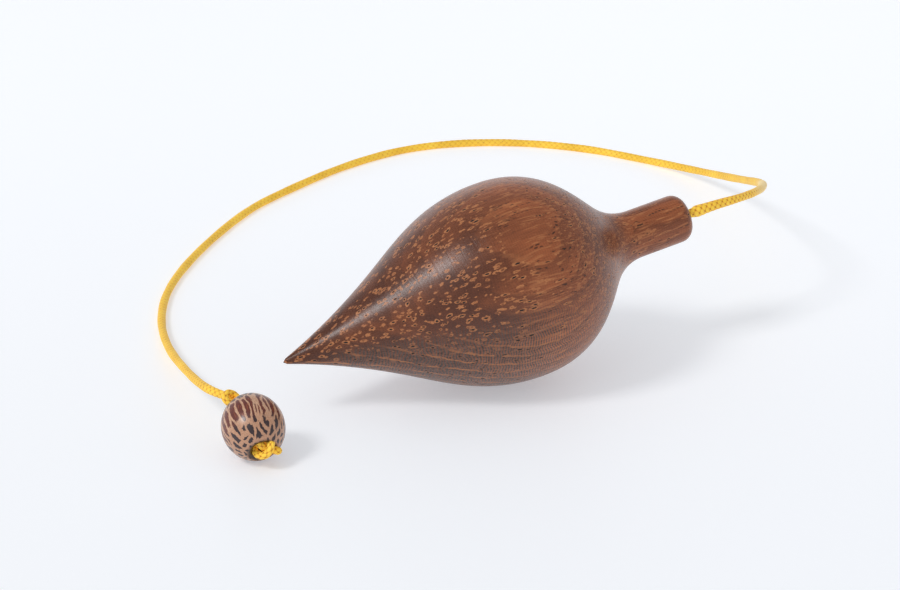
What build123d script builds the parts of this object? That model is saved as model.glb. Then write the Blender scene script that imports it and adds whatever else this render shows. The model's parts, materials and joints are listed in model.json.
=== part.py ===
from build123d import *
import math
import os

# A dowsing pendulum: a drop-shaped bob turned from one piece of hardwood, a braided cord glued
# into its neck, and a palm-wood bead held between two knots at the cord's other end.
#
# Millimetres, +Z up. The bob lies on its belly with its neck towards +X, as it comes to rest on
# a flat surface. The origin is on that surface, under the centre of the bob's bounding box.

# --- Bob, measured along its own axis from the tip -----------------------------------------
BOB_LENGTH = 71.0
BELLY_DIAMETER = 32.2
BELLY_STATION = 39.2
TIP_RADIUS = 0.4
TIP_HALF_ANGLE = 19.0
TAPER_STATION = 18.4
TAPER_DIAMETER = 17.4
SHOULDER_STATION = 54.0
SHOULDER_DIAMETER = 17.0
NECK_DIAMETER = 7.8
NECK_LENGTH = 9.2
NECK_END_ROUND = 2.0

# --- Cord -----------------------------------------------------------------------------------
CORD_DIAMETER = 1.3
CORD_TO_BORE_GAP = 0.1
ROOT_DEPTH = 12.0
MOUTH_CHAMFER = 0.5
GLUE_LENGTH = 4.0
GLUE_UNDER_CORD = 0.8
ROOT_TO_CORD_GAP = 0.05
FILLET_SHARE = 0.45
TAIL_LENGTH = 1.9
TAIL_DIRECTION = (0.88, -0.42, -0.12)

# --- Knots and bead -------------------------------------------------------------------------
KNOT_DIAMETER = 3.3
KNOT_TO_BEAD_GAP = 0.15
BEAD_DIAMETER = 9.65
BEAD_STRETCH = 1.12
BEAD_BORE = 2.0
BEAD_MOUTH = 4.1
BEAD_MOUTH_SLOPE = 45.0
BEAD_X = -44.2
BEAD_Y = -10.4
BEAD_HEADING = -94.0
BEAD_PITCH = 24.0

# The cord's route between the neck's mouth and the upper knot. It leaves the raised neck in the
# air, sinks as it turns, lies along the surface behind the bob and climbs to the bead's knot.
LAID = CORD_DIAMETER / 2
CORD_ROUTE = [
    (40.0, 0.6, 22.5),
    (46.0, 2.4, 22.1),
    (52.5, 7.4, 20.4),
    (58.0, 14.5, 18.0),
    (63.2, 25.0, 13.8),
    (67.8, 37.0, 9.0),
    (70.6, 49.0, 4.9),
    (70.6, 60.5, 2.0),
    (67.2, 70.8, LAID),
    (58.6, 82.6, LAID),
    (45.6, 92.2, LAID),
    (30.0, 96.6, LAID),
    (14.4, 93.2, LAID),
    (-1.8, 85.2, LAID),
    (-11.4, 79.4, LAID),
    (-25.6, 65.6, LAID),
    (-35.8, 52.6, LAID),
    (-41.4, 40.2, LAID),
    (-44.4, 27.2, 1.7),
    (-46.0, 14.0, 3.9),
    (-47.2, 3.2, 6.3),
    (-46.4, -2.2, 7.15),
]

OUTLINE_SAMPLES = 400
LEAN_LIMIT = 30.0
LEAN_STEPS = 60


def bob_outline():
    """The bob's half section from the tip to the neck's rounded end, before the bore."""
    slope = math.radians(TIP_HALF_ANGLE)
    belly = (BELLY_STATION, BELLY_DIAMETER / 2)
    neck = NECK_DIAMETER / 2
    neck_start = BOB_LENGTH - NECK_LENGTH
    round_start = BOB_LENGTH - NECK_END_ROUND
    tip_end = (TIP_RADIUS * (1 - math.sin(slope)), TIP_RADIUS * math.cos(slope))
    tip = RadiusArc((0, 0), tip_end, TIP_RADIUS)
    taper = Spline(
        tip_end,
        (TAPER_STATION, TAPER_DIAMETER / 2),
        belly,
        tangents=[(math.cos(slope), math.sin(slope)), (1, 0)],
    )
    shoulder = Spline(
        belly,
        (SHOULDER_STATION, SHOULDER_DIAMETER / 2),
        (neck_start, neck),
        tangents=[(1, 0), (1, 0)],
    )
    straight = Line((neck_start, neck), (round_start, neck))
    rounded = RadiusArc((round_start, neck), (BOB_LENGTH, neck - NECK_END_ROUND), NECK_END_ROUND)
    return [tip, taper, shoulder, straight, rounded]


def turned_blank(outline):
    """Revolve the half section about the bob's own axis, which is X here."""
    end_face = Line((BOB_LENGTH, NECK_DIAMETER / 2 - NECK_END_ROUND), (BOB_LENGTH, 0))
    axis_line = Line((BOB_LENGTH, 0), (0, 0))
    half_section = make_face(Curve() + outline + [end_face, axis_line])
    return revolve(half_section, Axis.X)


def resting_lean(outline, centre):
    """Angle, neck upward, at which the centre of mass is lowest over a flat surface."""
    samples = [edge @ (i / OUTLINE_SAMPLES) for edge in outline for i in range(OUTLINE_SAMPLES)]

    def height(lean):
        up, along = math.cos(lean), math.sin(lean)
        return max(point.Y * up - (point.X - centre) * along for point in samples)

    low, high = 0.0, math.radians(LEAN_LIMIT)
    for _ in range(LEAN_STEPS):
        third = (high - low) / 3
        if height(low + third) < height(high - third):
            high -= third
        else:
            low += third
    return math.degrees((low + high) / 2)


def bob_placement(blank, outline):
    """Location that lays the bob on its belly over the origin."""
    lean = Rot(0, -resting_lean(outline, blank.center().X), 0)
    box = (lean * blank).bounding_box()
    return Pos(-box.center().X, 0, -box.min.Z) * lean


def neck_tool(diameter, inner, outer):
    """Cylinder on the bob's axis between two stations."""
    start = Plane(origin=(inner, 0, 0), z_dir=(1, 0, 0))
    return extrude(start * Circle(diameter / 2), amount=outer - inner)


def bob(blank):
    """The turned bob with its blind bore and the bore's chamfered mouth."""
    bore = neck_tool(CORD_DIAMETER + 2 * CORD_TO_BORE_GAP, BOB_LENGTH - ROOT_DEPTH, BOB_LENGTH)
    bore_radius = CORD_DIAMETER / 2 + CORD_TO_BORE_GAP
    chamfer_plane = Plane(origin=(BOB_LENGTH - MOUTH_CHAMFER / 2, 0, 0), z_dir=(1, 0, 0))
    chamfer_cone = chamfer_plane * Cone(bore_radius, bore_radius + MOUTH_CHAMFER, MOUTH_CHAMFER)
    return blank - bore - chamfer_cone


def cord_root_span():
    """Stations of the glued-in cord's inner and outer ends."""
    inner = BOB_LENGTH - ROOT_DEPTH + GLUE_UNDER_CORD
    outer = BOB_LENGTH - CORD_DIAMETER / 2 - ROOT_TO_CORD_GAP
    return inner, outer


def cord_root():
    """The end of the cord that is glued into the neck."""
    return neck_tool(CORD_DIAMETER, *cord_root_span())


def glue_plug():
    """Cured glue that fills the bore's bottom, under and around the cord's end."""
    bottom = BOB_LENGTH - ROOT_DEPTH
    fill = neck_tool(CORD_DIAMETER + 2 * CORD_TO_BORE_GAP, bottom, bottom + GLUE_LENGTH)
    return fill - cord_root()


def bead_half_length():
    """Half of the ellipsoid's axis, before its poles are cut away by the mouths."""
    return BEAD_DIAMETER / 2 * BEAD_STRETCH


def mouth_station():
    """Distance from the bead's centre to the plane of a mouth's rim."""
    share = BEAD_MOUTH / BEAD_DIAMETER
    return bead_half_length() * math.sqrt(1 - share**2)


def knot_station():
    """Distance from the bead's centre to a knot that sits in the mouth with its gap."""
    slope = math.radians(BEAD_MOUTH_SLOPE)
    apex = mouth_station() - BEAD_MOUTH / 2 / math.tan(slope)
    return apex + (KNOT_DIAMETER / 2 + KNOT_TO_BEAD_GAP) / math.sin(slope)


def bead_placement():
    """Location whose Z axis is the bore, pointing at the lower mouth, with the bead grounded."""
    heading, pitch = math.radians(BEAD_HEADING), math.radians(BEAD_PITCH)
    level = math.cos(pitch)
    bore = (level * math.cos(heading), level * math.sin(heading), -math.sin(pitch))
    height = math.hypot(bead_half_length() * math.sin(pitch), BEAD_DIAMETER / 2 * level)
    return Plane(origin=(BEAD_X, BEAD_Y, height), z_dir=bore).location


def bead():
    """Slightly long round bead with a through bore and a countersunk mouth at each end."""
    half = bead_half_length()
    radius = BEAD_DIAMETER / 2
    rim = mouth_station()
    slope = math.radians(BEAD_MOUTH_SLOPE)
    sink = (BEAD_MOUTH - BEAD_BORE) / 2 / math.tan(slope)
    side = EllipticalCenterArc((0, 0), radius, half, -90, arc_size=180)
    section = make_face(Curve() + [side, Line(side @ 0, side @ 1)])
    body = revolve(Plane.XZ * section, Axis.Z)
    hole = Cylinder(BEAD_BORE / 2, 2 * half)
    upper = Pos(0, 0, rim - sink / 2) * Cone(BEAD_BORE / 2, BEAD_MOUTH / 2, sink)
    lower = Pos(0, 0, sink / 2 - rim) * Cone(BEAD_MOUTH / 2, BEAD_BORE / 2, sink)
    pole = half - rim
    top_cap = Pos(0, 0, rim + pole / 2) * Cylinder(BEAD_MOUTH / 2, pole)
    bottom_cap = Pos(0, 0, -rim - pole / 2) * Cylinder(BEAD_MOUTH / 2, pole)
    return body - hole - upper - lower - top_cap - bottom_cap


def seat_reach():
    """Distance from a knot's centre to the flat that a cord's end meets."""
    return math.sqrt((KNOT_DIAMETER / 2) ** 2 - (CORD_DIAMETER / 2) ** 2)


def knot(centre, directions):
    """Ball for a tied knot, with a flat of the cord's section towards each direction."""
    ball = Pos(*centre) * Sphere(KNOT_DIAMETER / 2)
    for direction in directions:
        start = Vector(*centre) + direction.normalized() * seat_reach()
        seat = Plane(origin=start, z_dir=direction) * Circle(CORD_DIAMETER / 2)
        ball -= extrude(seat, amount=KNOT_DIAMETER)
    return ball


def cord_between(start, end):
    """Straight piece of cord between two points."""
    run = end - start
    section = Plane(origin=start, z_dir=run) * Circle(CORD_DIAMETER / 2)
    return extrude(section, amount=run.length)


def route_radii(route):
    """Largest tangent arc that each corner's two runs leave room for."""
    radii = []
    for before, corner, after in zip(route, route[1:], route[2:]):
        arriving, leaving = corner - before, after - corner
        turn = math.radians(arriving.get_angle(leaving))
        shorter = min(arriving.length, leaving.length)
        radii.append(FILLET_SHARE * shorter / math.tan(turn / 2))
    return radii


def cord_tube(route):
    """The free cord, with a round start that lets it turn in the neck's mouth."""
    radii = route_radii(route)
    path = FilletPolyline(*route, radius=radii)
    section = Plane(origin=route[0], z_dir=route[1] - route[0]) * Circle(CORD_DIAMETER / 2)
    tube = sweep(section, path=path)
    swept = math.pi * (CORD_DIAMETER / 2) ** 2 * path.length
    print("cord radii", [round(radius, 1) for radius in radii])
    print("cord length", round(path.length, 2), "volume", round(tube.volume, 2), "of", round(swept, 2))
    return tube + Pos(*route[0]) * Sphere(CORD_DIAMETER / 2)


def build():
    """All pieces in place, by node name."""
    outline = bob_outline()
    blank = turned_blank(outline)
    on_belly = bob_placement(blank, outline)
    mouth = (on_belly * Pos(BOB_LENGTH, 0, 0)).position

    at_bead = bead_placement()
    upper_centre = (at_bead * Pos(0, 0, -knot_station())).position
    lower_centre = (at_bead * Pos(0, 0, knot_station())).position
    bore = (lower_centre - upper_centre).normalized()
    arrival = (Vector(*CORD_ROUTE[-1]) - upper_centre).normalized()
    tail = Vector(*TAIL_DIRECTION).normalized()
    tail_start = lower_centre + tail * seat_reach()
    route = [mouth] + [Vector(*point) for point in CORD_ROUTE]
    route.append(upper_centre + arrival * seat_reach())
    print("mouth", mouth, "upper knot", upper_centre, "lower knot", lower_centre)

    return {
        "bob": on_belly * bob(blank),
        "glue_plug": on_belly * glue_plug(),
        "cord_root": on_belly * cord_root(),
        "cord": cord_tube(route),
        "upper_knot": knot(upper_centre, [arrival, bore]),
        "bead_cord": cord_between(upper_centre + bore * seat_reach(), lower_centre - bore * seat_reach()),
        "bead": at_bead * bead(),
        "end_knot": knot(lower_centre, [-bore, tail]),
        "cord_tail": cord_between(tail_start, tail_start + tail * TAIL_LENGTH),
    }


os.makedirs("parts", exist_ok=True)
for node, shape in build().items():
    export_step(shape, f"parts/{node}.step")
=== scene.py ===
import json
import logging
import math
from dataclasses import dataclass, field
from enum import Enum
from typing import Any, Callable, Iterable

import bpy
import numpy as np
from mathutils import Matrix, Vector


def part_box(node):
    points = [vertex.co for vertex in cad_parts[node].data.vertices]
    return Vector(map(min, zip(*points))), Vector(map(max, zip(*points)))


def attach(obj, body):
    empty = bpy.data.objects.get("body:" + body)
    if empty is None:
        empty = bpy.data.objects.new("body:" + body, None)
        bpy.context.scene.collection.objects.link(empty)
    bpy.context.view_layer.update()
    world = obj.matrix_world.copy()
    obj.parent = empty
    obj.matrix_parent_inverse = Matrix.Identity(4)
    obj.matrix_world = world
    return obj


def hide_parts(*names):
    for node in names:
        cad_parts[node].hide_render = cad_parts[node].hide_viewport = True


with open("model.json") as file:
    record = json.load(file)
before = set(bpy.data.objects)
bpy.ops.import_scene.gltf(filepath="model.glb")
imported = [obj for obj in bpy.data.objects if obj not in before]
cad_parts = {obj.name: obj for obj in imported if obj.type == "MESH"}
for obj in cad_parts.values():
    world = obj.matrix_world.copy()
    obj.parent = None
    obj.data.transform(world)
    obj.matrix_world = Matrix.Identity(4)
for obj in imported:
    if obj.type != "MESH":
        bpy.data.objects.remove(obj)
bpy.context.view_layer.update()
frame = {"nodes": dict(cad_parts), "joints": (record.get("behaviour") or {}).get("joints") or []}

LOG = logging.getLogger("pendulum")
MM = 0.001
LAID = 0.65 * MM  # Height of the cord's middle where it lies on the board.
Array = np.ndarray


# ---------------------------------------------------------------------------------------------
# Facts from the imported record
# ---------------------------------------------------------------------------------------------


def joint(name: str) -> dict[str, Any]:
    """The record's joint of that name."""
    return next(entry for entry in frame["joints"] if entry["name"] == name)


def unit(vector: Array) -> Array:
    """The vector, or each row of an array, divided by its length."""
    return vector / np.linalg.norm(vector, axis=-1, keepdims=True)


def box_centre(node: str) -> Array:
    """Centre of a CAD node's box at rest, in metres."""
    low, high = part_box(node)
    return (np.array(low) + np.array(high)) / 2


def smoothstep(low: float, high: float, value: Array) -> Array:
    """Cubic step: 0 below low, 1 above high, and 3t^2 - 2t^3 between them."""
    t = np.clip((value - low) / (high - low), 0.0, 1.0)
    return t * t * (3.0 - 2.0 * t)


def across(direction: Array) -> tuple[Array, Array]:
    """Two unit vectors that make a right-handed frame with a direction.

    Args:
        direction: The unit vector that the two stand square to.

    Returns:
        The first and second crosswise unit vectors.
    """
    helper = np.array([0.0, 1.0, 0.0]) if abs(direction[1]) < 0.9 else np.array([0.0, 0.0, 1.0])
    first = unit(np.cross(helper, direction))
    return first, np.cross(direction, first)


# ---------------------------------------------------------------------------------------------
# Meshes on grids
# ---------------------------------------------------------------------------------------------


def spokes(columns: int, first: Array, second: Array) -> Array:
    """Unit vectors once round: cos(angle) * first + sin(angle) * second.

    Args:
        columns: Number of spokes.
        first: Direction at angle 0, or one such direction for each ring, shape (..., 1, 3).
        second: Direction a quarter turn on, in the same shape.

    Returns:
        Array of shape (..., columns, 3).
    """
    angle = np.arange(columns) * math.tau / columns
    return np.cos(angle)[:, None] * first + np.sin(angle)[:, None] * second


def revolve(start: Array, axis: Array, stations: Array, radii: Array, columns: int) -> Array:
    """Rings of a turned surface: start + station * axis + radius * spoke.

    Args:
        start: Point on the axis that the stations are counted from.
        axis: Unit vector along the axis.
        stations: Place of each ring along the axis.
        radii: Radius of each ring.
        columns: Number of points on each ring.

    Returns:
        Array of shape (rings, columns, 3).
    """
    spoke = spokes(columns, *across(axis))
    return start + stations[:, None, None] * axis + radii[:, None, None] * spoke


def lattice_quads(rows: int, columns: int) -> Array:
    """Quads of a grid that is open along its rows and closed around its columns.

    Corner (i, j) is vertex i * columns + j, and column j + 1 wraps to 0 past the last.

    Args:
        rows: Number of rings.
        columns: Number of points on each ring.

    Returns:
        Array of shape ((rows - 1) * columns, 4).
    """
    i = np.arange(rows - 1)[:, None]
    j = np.arange(columns)[None, :]
    after = (j + 1) % columns
    ring, next_ring = i * columns, (i + 1) * columns
    corners = [ring + j, ring + after, next_ring + after, next_ring + j]
    return np.stack(corners, axis=-1).reshape(-1, 4)


def mesh_points(mesh: bpy.types.Mesh) -> Array:
    """Every vertex of a mesh, read at once.

    Args:
        mesh: The mesh.

    Returns:
        Array of shape (n, 3).
    """
    points = np.empty(len(mesh.vertices) * 3)
    mesh.vertices.foreach_get("co", points)
    return points.reshape(-1, 3)


def smooth_mesh(name: str, points: Array, faces: list[list[int]]) -> bpy.types.Mesh:
    """Mesh of these points and faces, shaded smooth.

    Args:
        name: Name of the mesh.
        points: Its vertices, shape (n, 3).
        faces: Vertex numbers of each face.

    Returns:
        The mesh.
    """
    mesh = bpy.data.meshes.new(name)
    mesh.from_pydata(points.tolist(), [], faces)
    mesh.polygons.foreach_set("use_smooth", np.ones(len(mesh.polygons), dtype=bool))
    return mesh


def closed_tube_mesh(name: str, rings: Array, start: Array, end: Array) -> bpy.types.Mesh:
    """Mesh of stacked rings whose two ends are fans to single poles.

    Args:
        name: Name of the mesh.
        rings: Ring points, shape (rows, columns, 3), turning left about the way they advance.
        start: Pole before the first ring.
        end: Pole after the last ring.

    Returns:
        The closed mesh, with smooth faces that point outwards.
    """
    rows, columns, _ = rings.shape
    points = np.concatenate([rings.reshape(-1, 3), start[None], end[None]])
    quads = lattice_quads(rows, columns)
    j = np.arange(columns)
    after = (j + 1) % columns
    first, last = rows * columns, rows * columns + 1
    base = (rows - 1) * columns
    start_fan = np.stack([np.full(columns, first), after, j], axis=-1)
    end_fan = np.stack([np.full(columns, last), base + j, base + after], axis=-1)
    return smooth_mesh(name, points, quads.tolist() + start_fan.tolist() + end_fan.tolist())


def give_tube_uv(mesh: bpy.types.Mesh, rows: int, columns: int, along: Array) -> None:
    """UV map for closed_tube_mesh: U is the value along the tube, V runs once round it.

    Args:
        mesh: The mesh that closed_tube_mesh made.
        rows: Number of rings.
        columns: Number of points on each ring.
        along: U of each ring.
    """
    u_low, u_high = along[:-1, None], along[1:, None]
    v_low = np.broadcast_to(np.arange(columns)[None] / columns, (rows - 1, columns))
    v_high = v_low + 1.0 / columns
    u_corner = np.stack(np.broadcast_arrays(u_low, u_low, u_high, u_high), axis=-1)
    u_corner = np.broadcast_to(u_corner, (rows - 1, columns, 4))
    v_corner = np.stack([v_low, v_high, v_high, v_low], axis=-1)
    quads = np.stack([u_corner, v_corner], axis=-1).reshape(-1, 2)
    v_pole = np.arange(columns) / columns
    middle, after = v_pole + 0.5 / columns, v_pole + 1.0 / columns
    start_fan = np.stack([middle, after, v_pole], axis=-1)
    end_fan = np.stack([middle, v_pole, after], axis=-1)
    start_uv = np.stack([np.full_like(start_fan, along[0]), start_fan], axis=-1).reshape(-1, 2)
    end_uv = np.stack([np.full_like(end_fan, along[-1]), end_fan], axis=-1).reshape(-1, 2)
    layer = mesh.uv_layers.new(name="braid")
    layer.data.foreach_set("uv", np.concatenate([quads, start_uv, end_uv]).ravel())


def add_object(name: str, data: bpy.types.ID) -> bpy.types.Object:
    """A new object on a mesh, curve, light or camera, in the scene and at the origin."""
    made = bpy.data.objects.new(name, data)
    bpy.context.scene.collection.objects.link(made)
    return made


def place_piece(mesh: bpy.types.Mesh, body: str, node: str) -> bpy.types.Object:
    """Put a finished mesh into the scene as a piece of the object.

    Args:
        mesh: The mesh, already in place.
        body: CAD body that the piece rides on.
        node: CAD node that the piece stands for.

    Returns:
        The new object, at the origin, unturned and unscaled.
    """
    piece = add_object(mesh.name, mesh)
    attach(piece, body)
    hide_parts(node)
    return piece


# ---------------------------------------------------------------------------------------------
# Shader expressions
# ---------------------------------------------------------------------------------------------


class Value:
    """A number that varies over a surface: one output socket with Python's operators."""

    def __init__(self, shader: "Shader", socket: bpy.types.NodeSocket) -> None:
        """Wrap a socket of the shader's node tree."""
        self.shader = shader
        self.socket = socket

    def output(self, name: str) -> "Value":
        """Another output of the node that the value comes from."""
        return Value(self.shader, self.socket.node.outputs[name])

    def _math(self, operation: str, *values: "Value | float") -> "Value":
        """One Math node on these values."""
        return self.shader.node("ShaderNodeMath", {"operation": operation}, values)

    def __add__(self, other: "Value | float") -> "Value":
        """Sum."""
        return self._math("ADD", self, other)

    def __radd__(self, other: float) -> "Value":
        """Sum with a number on the left."""
        return self._math("ADD", other, self)

    def __sub__(self, other: "Value | float") -> "Value":
        """Difference."""
        return self._math("SUBTRACT", self, other)

    def __rsub__(self, other: float) -> "Value":
        """Difference with a number on the left."""
        return self._math("SUBTRACT", other, self)

    def __mul__(self, other: "Value | float") -> "Value":
        """Product."""
        return self._math("MULTIPLY", self, other)

    def __rmul__(self, other: float) -> "Value":
        """Product with a number on the left."""
        return self._math("MULTIPLY", other, self)

    def __truediv__(self, other: "Value | float") -> "Value":
        """Quotient."""
        return self._math("DIVIDE", self, other)

    def __pow__(self, power: float) -> "Value":
        """Power of a value that is not negative."""
        return self._math("POWER", self, power)

    def floor(self) -> "Value":
        """Largest whole number that is not above the value."""
        return self._math("FLOOR", self)

    def fraction(self) -> "Value":
        """Value less its floor."""
        return self._math("FRACT", self)

    def sine(self) -> "Value":
        """Sine of the value in radians."""
        return self._math("SINE", self)

    def size(self) -> "Value":
        """Absolute value."""
        return self._math("ABSOLUTE", self)

    def larger(self, other: "Value | float") -> "Value":
        """The larger of the two."""
        return self._math("MAXIMUM", self, other)

    def smaller(self, other: "Value | float") -> "Value":
        """The smaller of the two."""
        return self._math("MINIMUM", self, other)

    def above(self, limit: "Value | float") -> "Value":
        """1 where the value is above the limit, and 0 elsewhere."""
        return self._math("GREATER_THAN", self, limit)

    def step(self, low: float, high: float) -> "Value":
        """Cubic step: 3t^2 - 2t^3 of the share t of the way from low to high.

        Args:
            low: Where the step is 0.
            high: Where it is 1, which may lie below low.

        Returns:
            The step's value.
        """
        settings = {"interpolation_type": "SMOOTHSTEP"}
        if low < high:
            return self.shader.node("ShaderNodeMapRange", settings, (self, low, high, 0.0, 1.0))
        return self.shader.node("ShaderNodeMapRange", settings, (self, high, low, 1.0, 0.0))


Input = Value | float | tuple[float, ...]
Span = tuple[float, float]
Colour = tuple[float, ...]


class Shader:
    """A material's or a world's node tree, and the shader node that it ends in."""

    def __init__(self, name: str) -> None:
        """Start a material of that name with one Principled shader."""
        self.owner = bpy.data.materials.new(name)
        self._open("Principled BSDF")

    def _open(self, surface: str) -> None:
        """Turn the owner's nodes on and find its shader node."""
        self.owner.use_nodes = True
        self.tree = self.owner.node_tree
        self.surface = self.tree.nodes[surface]

    def node(
        self,
        kind: str,
        settings: dict[str, Any] | None = None,
        inputs: Iterable[Input] | dict[str | int, Input] = (),
        output: str | int = 0,
    ) -> Value:
        """Add one node.

        Args:
            kind: The node's type.
            settings: Properties that are set before the sockets.
            inputs: Values or links, in the sockets' order or by their names.
            output: Name or number of the output that is wanted.

        Returns:
            That output.
        """
        made = self.tree.nodes.new(kind)
        for key, setting in (settings or {}).items():
            setattr(made, key, setting)
        named = inputs.items() if isinstance(inputs, dict) else enumerate(inputs)
        for key, given in named:
            self.feed(made.inputs[key], given)
        return Value(self, made.outputs[output])

    def feed(self, socket: bpy.types.NodeSocket, given: Input) -> None:
        """Link a value to a socket, or set the socket.

        Args:
            socket: The input socket.
            given: A value, or a number, vector or colour that is the same everywhere.
        """
        if isinstance(given, Value):
            self.tree.links.new(given.socket, socket)
        else:
            socket.default_value = given

    def object_place(self) -> Value:
        """The Object coordinates, in metres."""
        return self.node("ShaderNodeTexCoord", output="Object")

    def attribute(self, name: str) -> Value:
        """A number that the mesh carries at each point under that name."""
        return self.node("ShaderNodeAttribute", {"attribute_name": name}, output="Fac")

    def along(self, place: Value, start: Array, direction: Array) -> Value:
        """Distance from a start along a direction: (place - start) . direction.

        Args:
            place: The place, in metres.
            start: Where the distance is 0.
            direction: Unit vector.

        Returns:
            The distance in millimetres.
        """
        offset = self.node("ShaderNodeVectorMath", {"operation": "SUBTRACT"}, (place, tuple(start)))
        settings = {"operation": "DOT_PRODUCT"}
        return self.node("ShaderNodeVectorMath", settings, (offset, tuple(direction / MM)), "Value")

    def vector(self, x: Input, y: Input = 0.0, z: Input = 0.0) -> Value:
        """Vector of three values."""
        return self.node("ShaderNodeCombineXYZ", inputs=(x, y, z))

    def noise(self, place: Value, scale: float, detail: float = 2.0, rough: float = 0.5) -> Value:
        """Fractal noise about 0.5."""
        inputs = {"Vector": place, "Scale": scale, "Detail": detail, "Roughness": rough}
        return self.node("ShaderNodeTexNoise", {"noise_dimensions": "3D"}, inputs, "Fac")

    def cells(self, place: Value, scale: float) -> tuple[Value, Value]:
        """Solid cells round scattered centres.

        Args:
            place: Where the pattern is read.
            scale: Cells to one unit of the place.

        Returns:
            Distance to the nearest centre, and a random share that is the same in its cell.
        """
        settings = {"voronoi_dimensions": "3D", "feature": "F1"}
        inputs = {"Vector": place, "Scale": scale, "Randomness": 1.0}
        distance = self.node("ShaderNodeTexVoronoi", settings, inputs, "Distance")
        return distance, self.node("ShaderNodeSeparateColor", inputs=(distance.output("Color"),))

    def mix(self, share: Input, first: Input, second: Input) -> Value:
        """Colour between two colours: the first at share 0, the second at share 1."""
        settings = {"data_type": "RGBA", "clamp_factor": True}
        return self.node("ShaderNodeMix", settings, {0: share, 6: first, 7: second}, 2)

    def scaled(self, colour: Input, amount: Input) -> Value:
        """Colour with every channel multiplied by an amount."""
        inputs = {"Vector": colour, "Scale": amount}
        return self.node("ShaderNodeVectorMath", {"operation": "SCALE"}, inputs)

    def bump(self, height: Value, strength: float, depth: float) -> Value:
        """Normal of a height map whose full height is depth millimetres."""
        inputs = {"Height": height, "Strength": strength, "Distance": depth * MM}
        return self.node("ShaderNodeBump", inputs=inputs)

    def finish(self, **sockets: Input) -> bpy.types.Material | bpy.types.World:
        """Feed the shader node and end the work on it.

        Args:
            **sockets: What each socket gets, with underscores for the spaces of its name.

        Returns:
            The material or world.
        """
        for name, given in sockets.items():
            self.feed(self.surface.inputs[name.replace("_", " ")], given)
        return self.owner


class RoomShader(Shader):
    """A world's node tree."""

    def __init__(self, name: str) -> None:
        """Start a world of that name with one Background shader."""
        self.owner = bpy.data.worlds.new(name)
        self._open("Background")


def srgb(red: int, green: int, blue: int) -> tuple[float, float, float, float]:
    """Linear colour of a display colour: a short straight foot, then a power of 2.4.

    Args:
        red: Red from 0 to 255.
        green: Green from 0 to 255.
        blue: Blue from 0 to 255.

    Returns:
        Red, green and blue from 0 to 1, and an opacity of 1.
    """
    encoded = np.array([red, green, blue]) / 255.0
    linear = np.where(encoded <= 0.04045, encoded / 12.92, ((encoded + 0.055) / 1.055) ** 2.4)
    return (*linear.tolist(), 1.0)


# ---------------------------------------------------------------------------------------------
# Finishes
# ---------------------------------------------------------------------------------------------


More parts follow.
